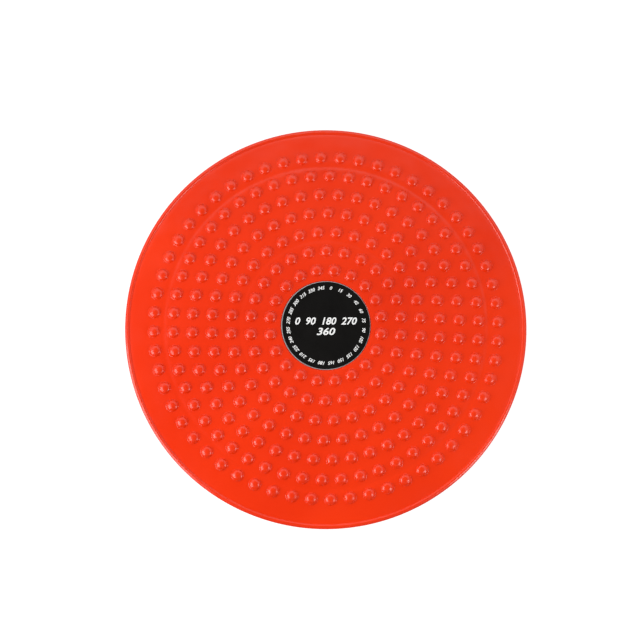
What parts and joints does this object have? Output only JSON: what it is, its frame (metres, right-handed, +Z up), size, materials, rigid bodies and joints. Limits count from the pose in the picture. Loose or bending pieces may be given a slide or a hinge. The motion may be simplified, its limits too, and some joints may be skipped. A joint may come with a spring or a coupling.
{
  "type": "waist twisting disc",
  "caption": "Round domed twisting disc with rings of massage nubs, turning on a caged ball bearing over a smaller base with rubber foot pads.",
  "frame": {"origin": "on the turning axis, level with the undersides of the foot pads, which stand on Z = 0", "axes": "+Z up along the turning axis; -Y is the side nearest the viewer in the picture"},
  "size_m": [0.249, 0.249, 0.0296],
  "materials": {
    "top_plastic": "satin-gloss orange-red moulded plastic",
    "base_plastic": "black moulded plastic, fine texture",
    "cap_plastic": "black moulded plastic",
    "label_black": "printed film, laminated",
    "label_silver": "silver film",
    "race_steel": "pressed and zinc plated",
    "ball_steel": "polished bearing steel",
    "cage_nylon": "natural nylon",
    "bush_nylon": "natural nylon",
    "slip_nylon": "natural nylon",
    "hardware_steel": "zinc plated",
    "nut_nylon": "blue nylon",
    "pad_rubber": "black rubber"
  },
  "bodies": {
    "base": {"base_disc": "base_plastic", "foot_pad_1": "pad_rubber", "foot_pad_2": "pad_rubber", "foot_pad_3": "pad_rubber", "foot_pad_4": "pad_rubber", "foot_pad_5": "pad_rubber", "foot_pad_6": "pad_rubber", "lower_race": "race_steel", "pivot_bolt": "hardware_steel", "spacer_sleeve": "hardware_steel", "base_washer": "hardware_steel", "lock_nut": "hardware_steel", "lock_nut_insert": "nut_nylon", "top_washer": "hardware_steel"},
    "top": {"top_disc": "top_plastic", "upper_race": "race_steel", "hub_bush": "bush_nylon", "thrust_washer": "slip_nylon", "hub_cap": "cap_plastic", "label_backing": "label_silver", "centre_label": "label_black"},
    "cage": {"ball_cage": "cage_nylon"},
    "ball_01": {"ball_01": "ball_steel"},
    "ball_02": {"ball_02": "ball_steel"},
    "ball_03": {"ball_03": "ball_steel"},
    "ball_04": {"ball_04": "ball_steel"},
    "ball_05": {"ball_05": "ball_steel"},
    "ball_06": {"ball_06": "ball_steel"},
    "ball_07": {"ball_07": "ball_steel"},
    "ball_08": {"ball_08": "ball_steel"},
    "ball_09": {"ball_09": "ball_steel"},
    "ball_10": {"ball_10": "ball_steel"},
    "ball_11": {"ball_11": "ball_steel"},
    "ball_12": {"ball_12": "ball_steel"},
    "ball_13": {"ball_13": "ball_steel"},
    "ball_14": {"ball_14": "ball_steel"},
    "ball_15": {"ball_15": "ball_steel"},
    "ball_16": {"ball_16": "ball_steel"},
    "ball_17": {"ball_17": "ball_steel"},
    "ball_18": {"ball_18": "ball_steel"},
    "ball_19": {"ball_19": "ball_steel"},
    "ball_20": {"ball_20": "ball_steel"},
    "ball_21": {"ball_21": "ball_steel"},
    "ball_22": {"ball_22": "ball_steel"},
    "ball_23": {"ball_23": "ball_steel"},
    "ball_24": {"ball_24": "ball_steel"}
  },
  "joints": [
    {"name": "top_spin", "type": "hinge", "parent": "base", "child": "top", "pos_m": [0, 0, 0.0159], "axis": [0, 0, 1], "continuous": true},
    {"name": "cage_orbit", "type": "hinge", "parent": "base", "child": "cage", "pos_m": [0, 0, 0.014], "axis": [0, 0, 1], "continuous": true},
    {"name": "ball_01_roll", "type": "hinge", "parent": "cage", "child": "ball_01", "pos_m": [0.05325, 0, 0.014], "axis": [1, 0, 0], "continuous": true},
    {"name": "ball_02_roll", "type": "hinge", "parent": "cage", "child": "ball_02", "pos_m": [0.05144, 0.01378, 0.014], "axis": [0.9659, 0.2588, 0], "continuous": true},
    {"name": "ball_03_roll", "type": "hinge", "parent": "cage", "child": "ball_03", "pos_m": [0.04612, 0.02662, 0.014], "axis": [0.866, 0.5, 0], "continuous": true},
    {"name": "ball_04_roll", "type": "hinge", "parent": "cage", "child": "ball_04", "pos_m": [0.03765, 0.03765, 0.014], "axis": [0.7071, 0.7071, 0], "continuous": true},
    {"name": "ball_05_roll", "type": "hinge", "parent": "cage", "child": "ball_05", "pos_m": [0.02662, 0.04612, 0.014], "axis": [0.5, 0.866, 0], "continuous": true},
    {"name": "ball_06_roll", "type": "hinge", "parent": "cage", "child": "ball_06", "pos_m": [0.01378, 0.05144, 0.014], "axis": [0.2588, 0.9659, 0], "continuous": true},
    {"name": "ball_07_roll", "type": "hinge", "parent": "cage", "child": "ball_07", "pos_m": [0, 0.05325, 0.014], "axis": [0, 1, 0], "continuous": true},
    {"name": "ball_08_roll", "type": "hinge", "parent": "cage", "child": "ball_08", "pos_m": [-0.01378, 0.05144, 0.014], "axis": [-0.2588, 0.9659, 0], "continuous": true},
    {"name": "ball_09_roll", "type": "hinge", "parent": "cage", "child": "ball_09", "pos_m": [-0.02662, 0.04612, 0.014], "axis": [-0.5, 0.866, 0], "continuous": true},
    {"name": "ball_10_roll", "type": "hinge", "parent": "cage", "child": "ball_10", "pos_m": [-0.03765, 0.03765, 0.014], "axis": [-0.7071, 0.7071, 0], "continuous": true},
    {"name": "ball_11_roll", "type": "hinge", "parent": "cage", "child": "ball_11", "pos_m": [-0.04612, 0.02662, 0.014], "axis": [-0.866, 0.5, 0], "continuous": true},
    {"name": "ball_12_roll", "type": "hinge", "parent": "cage", "child": "ball_12", "pos_m": [-0.05144, 0.01378, 0.014], "axis": [-0.9659, 0.2588, 0], "continuous": true},
    {"name": "ball_13_roll", "type": "hinge", "parent": "cage", "child": "ball_13", "pos_m": [-0.05325, 0, 0.014], "axis": [-1, 0, 0], "continuous": true},
    {"name": "ball_14_roll", "type": "hinge", "parent": "cage", "child": "ball_14", "pos_m": [-0.05144, -0.01378, 0.014], "axis": [-0.9659, -0.2588, 0], "continuous": true},
    {"name": "ball_15_roll", "type": "hinge", "parent": "cage", "child": "ball_15", "pos_m": [-0.04612, -0.02662, 0.014], "axis": [-0.866, -0.5, 0], "continuous": true},
    {"name": "ball_16_roll", "type": "hinge", "parent": "cage", "child": "ball_16", "pos_m": [-0.03765, -0.03765, 0.014], "axis": [-0.7071, -0.7071, 0], "continuous": true},
    {"name": "ball_17_roll", "type": "hinge", "parent": "cage", "child": "ball_17", "pos_m": [-0.02662, -0.04612, 0.014], "axis": [-0.5, -0.866, 0], "continuous": true},
    {"name": "ball_18_roll", "type": "hinge", "parent": "cage", "child": "ball_18", "pos_m": [-0.01378, -0.05144, 0.014], "axis": [-0.2588, -0.9659, 0], "continuous": true},
    {"name": "ball_19_roll", "type": "hinge", "parent": "cage", "child": "ball_19", "pos_m": [0, -0.05325, 0.014], "axis": [0, -1, 0], "continuous": true},
    {"name": "ball_20_roll", "type": "hinge", "parent": "cage", "child": "ball_20", "pos_m": [0.01378, -0.05144, 0.014], "axis": [0.2588, -0.9659, 0], "continuous": true},
    {"name": "ball_21_roll", "type": "hinge", "parent": "cage", "child": "ball_21", "pos_m": [0.02662, -0.04612, 0.014], "axis": [0.5, -0.866, 0], "continuous": true},
    {"name": "ball_22_roll", "type": "hinge", "parent": "cage", "child": "ball_22", "pos_m": [0.03765, -0.03765, 0.014], "axis": [0.7071, -0.7071, 0], "continuous": true},
    {"name": "ball_23_roll", "type": "hinge", "parent": "cage", "child": "ball_23", "pos_m": [0.04612, -0.02662, 0.014], "axis": [0.866, -0.5, 0], "continuous": true},
    {"name": "ball_24_roll", "type": "hinge", "parent": "cage", "child": "ball_24", "pos_m": [0.05144, -0.01378, 0.014], "axis": [0.9659, -0.2588, 0], "continuous": true}
  ],
  "couplings": [
    {"joint": "cage_orbit", "follows": "top_spin", "ratio": 0.5},
    {"joint": "ball_01_roll", "follows": "top_spin", "ratio": -7.6071},
    {"joint": "ball_02_roll", "follows": "top_spin", "ratio": -7.6071},
    {"joint": "ball_03_roll", "follows": "top_spin", "ratio": -7.6071},
    {"joint": "ball_04_roll", "follows": "top_spin", "ratio": -7.6071},
    {"joint": "ball_05_roll", "follows": "top_spin", "ratio": -7.6071},
    {"joint": "ball_06_roll", "follows": "top_spin", "ratio": -7.6071},
    {"joint": "ball_07_roll", "follows": "top_spin", "ratio": -7.6071},
    {"joint": "ball_08_roll", "follows": "top_spin", "ratio": -7.6071},
    {"joint": "ball_09_roll", "follows": "top_spin", "ratio": -7.6071},
    {"joint": "ball_10_roll", "follows": "top_spin", "ratio": -7.6071},
    {"joint": "ball_11_roll", "follows": "top_spin", "ratio": -7.6071},
    {"joint": "ball_12_roll", "follows": "top_spin", "ratio": -7.6071},
    {"joint": "ball_13_roll", "follows": "top_spin", "ratio": -7.6071},
    {"joint": "ball_14_roll", "follows": "top_spin", "ratio": -7.6071},
    {"joint": "ball_15_roll", "follows": "top_spin", "ratio": -7.6071},
    {"joint": "ball_16_roll", "follows": "top_spin", "ratio": -7.6071},
    {"joint": "ball_17_roll", "follows": "top_spin", "ratio": -7.6071},
    {"joint": "ball_18_roll", "follows": "top_spin", "ratio": -7.6071},
    {"joint": "ball_19_roll", "follows": "top_spin", "ratio": -7.6071},
    {"joint": "ball_20_roll", "follows": "top_spin", "ratio": -7.6071},
    {"joint": "ball_21_roll", "follows": "top_spin", "ratio": -7.6071},
    {"joint": "ball_22_roll", "follows": "top_spin", "ratio": -7.6071},
    {"joint": "ball_23_roll", "follows": "top_spin", "ratio": -7.6071},
    {"joint": "ball_24_roll", "follows": "top_spin", "ratio": -7.6071}
  ]
}
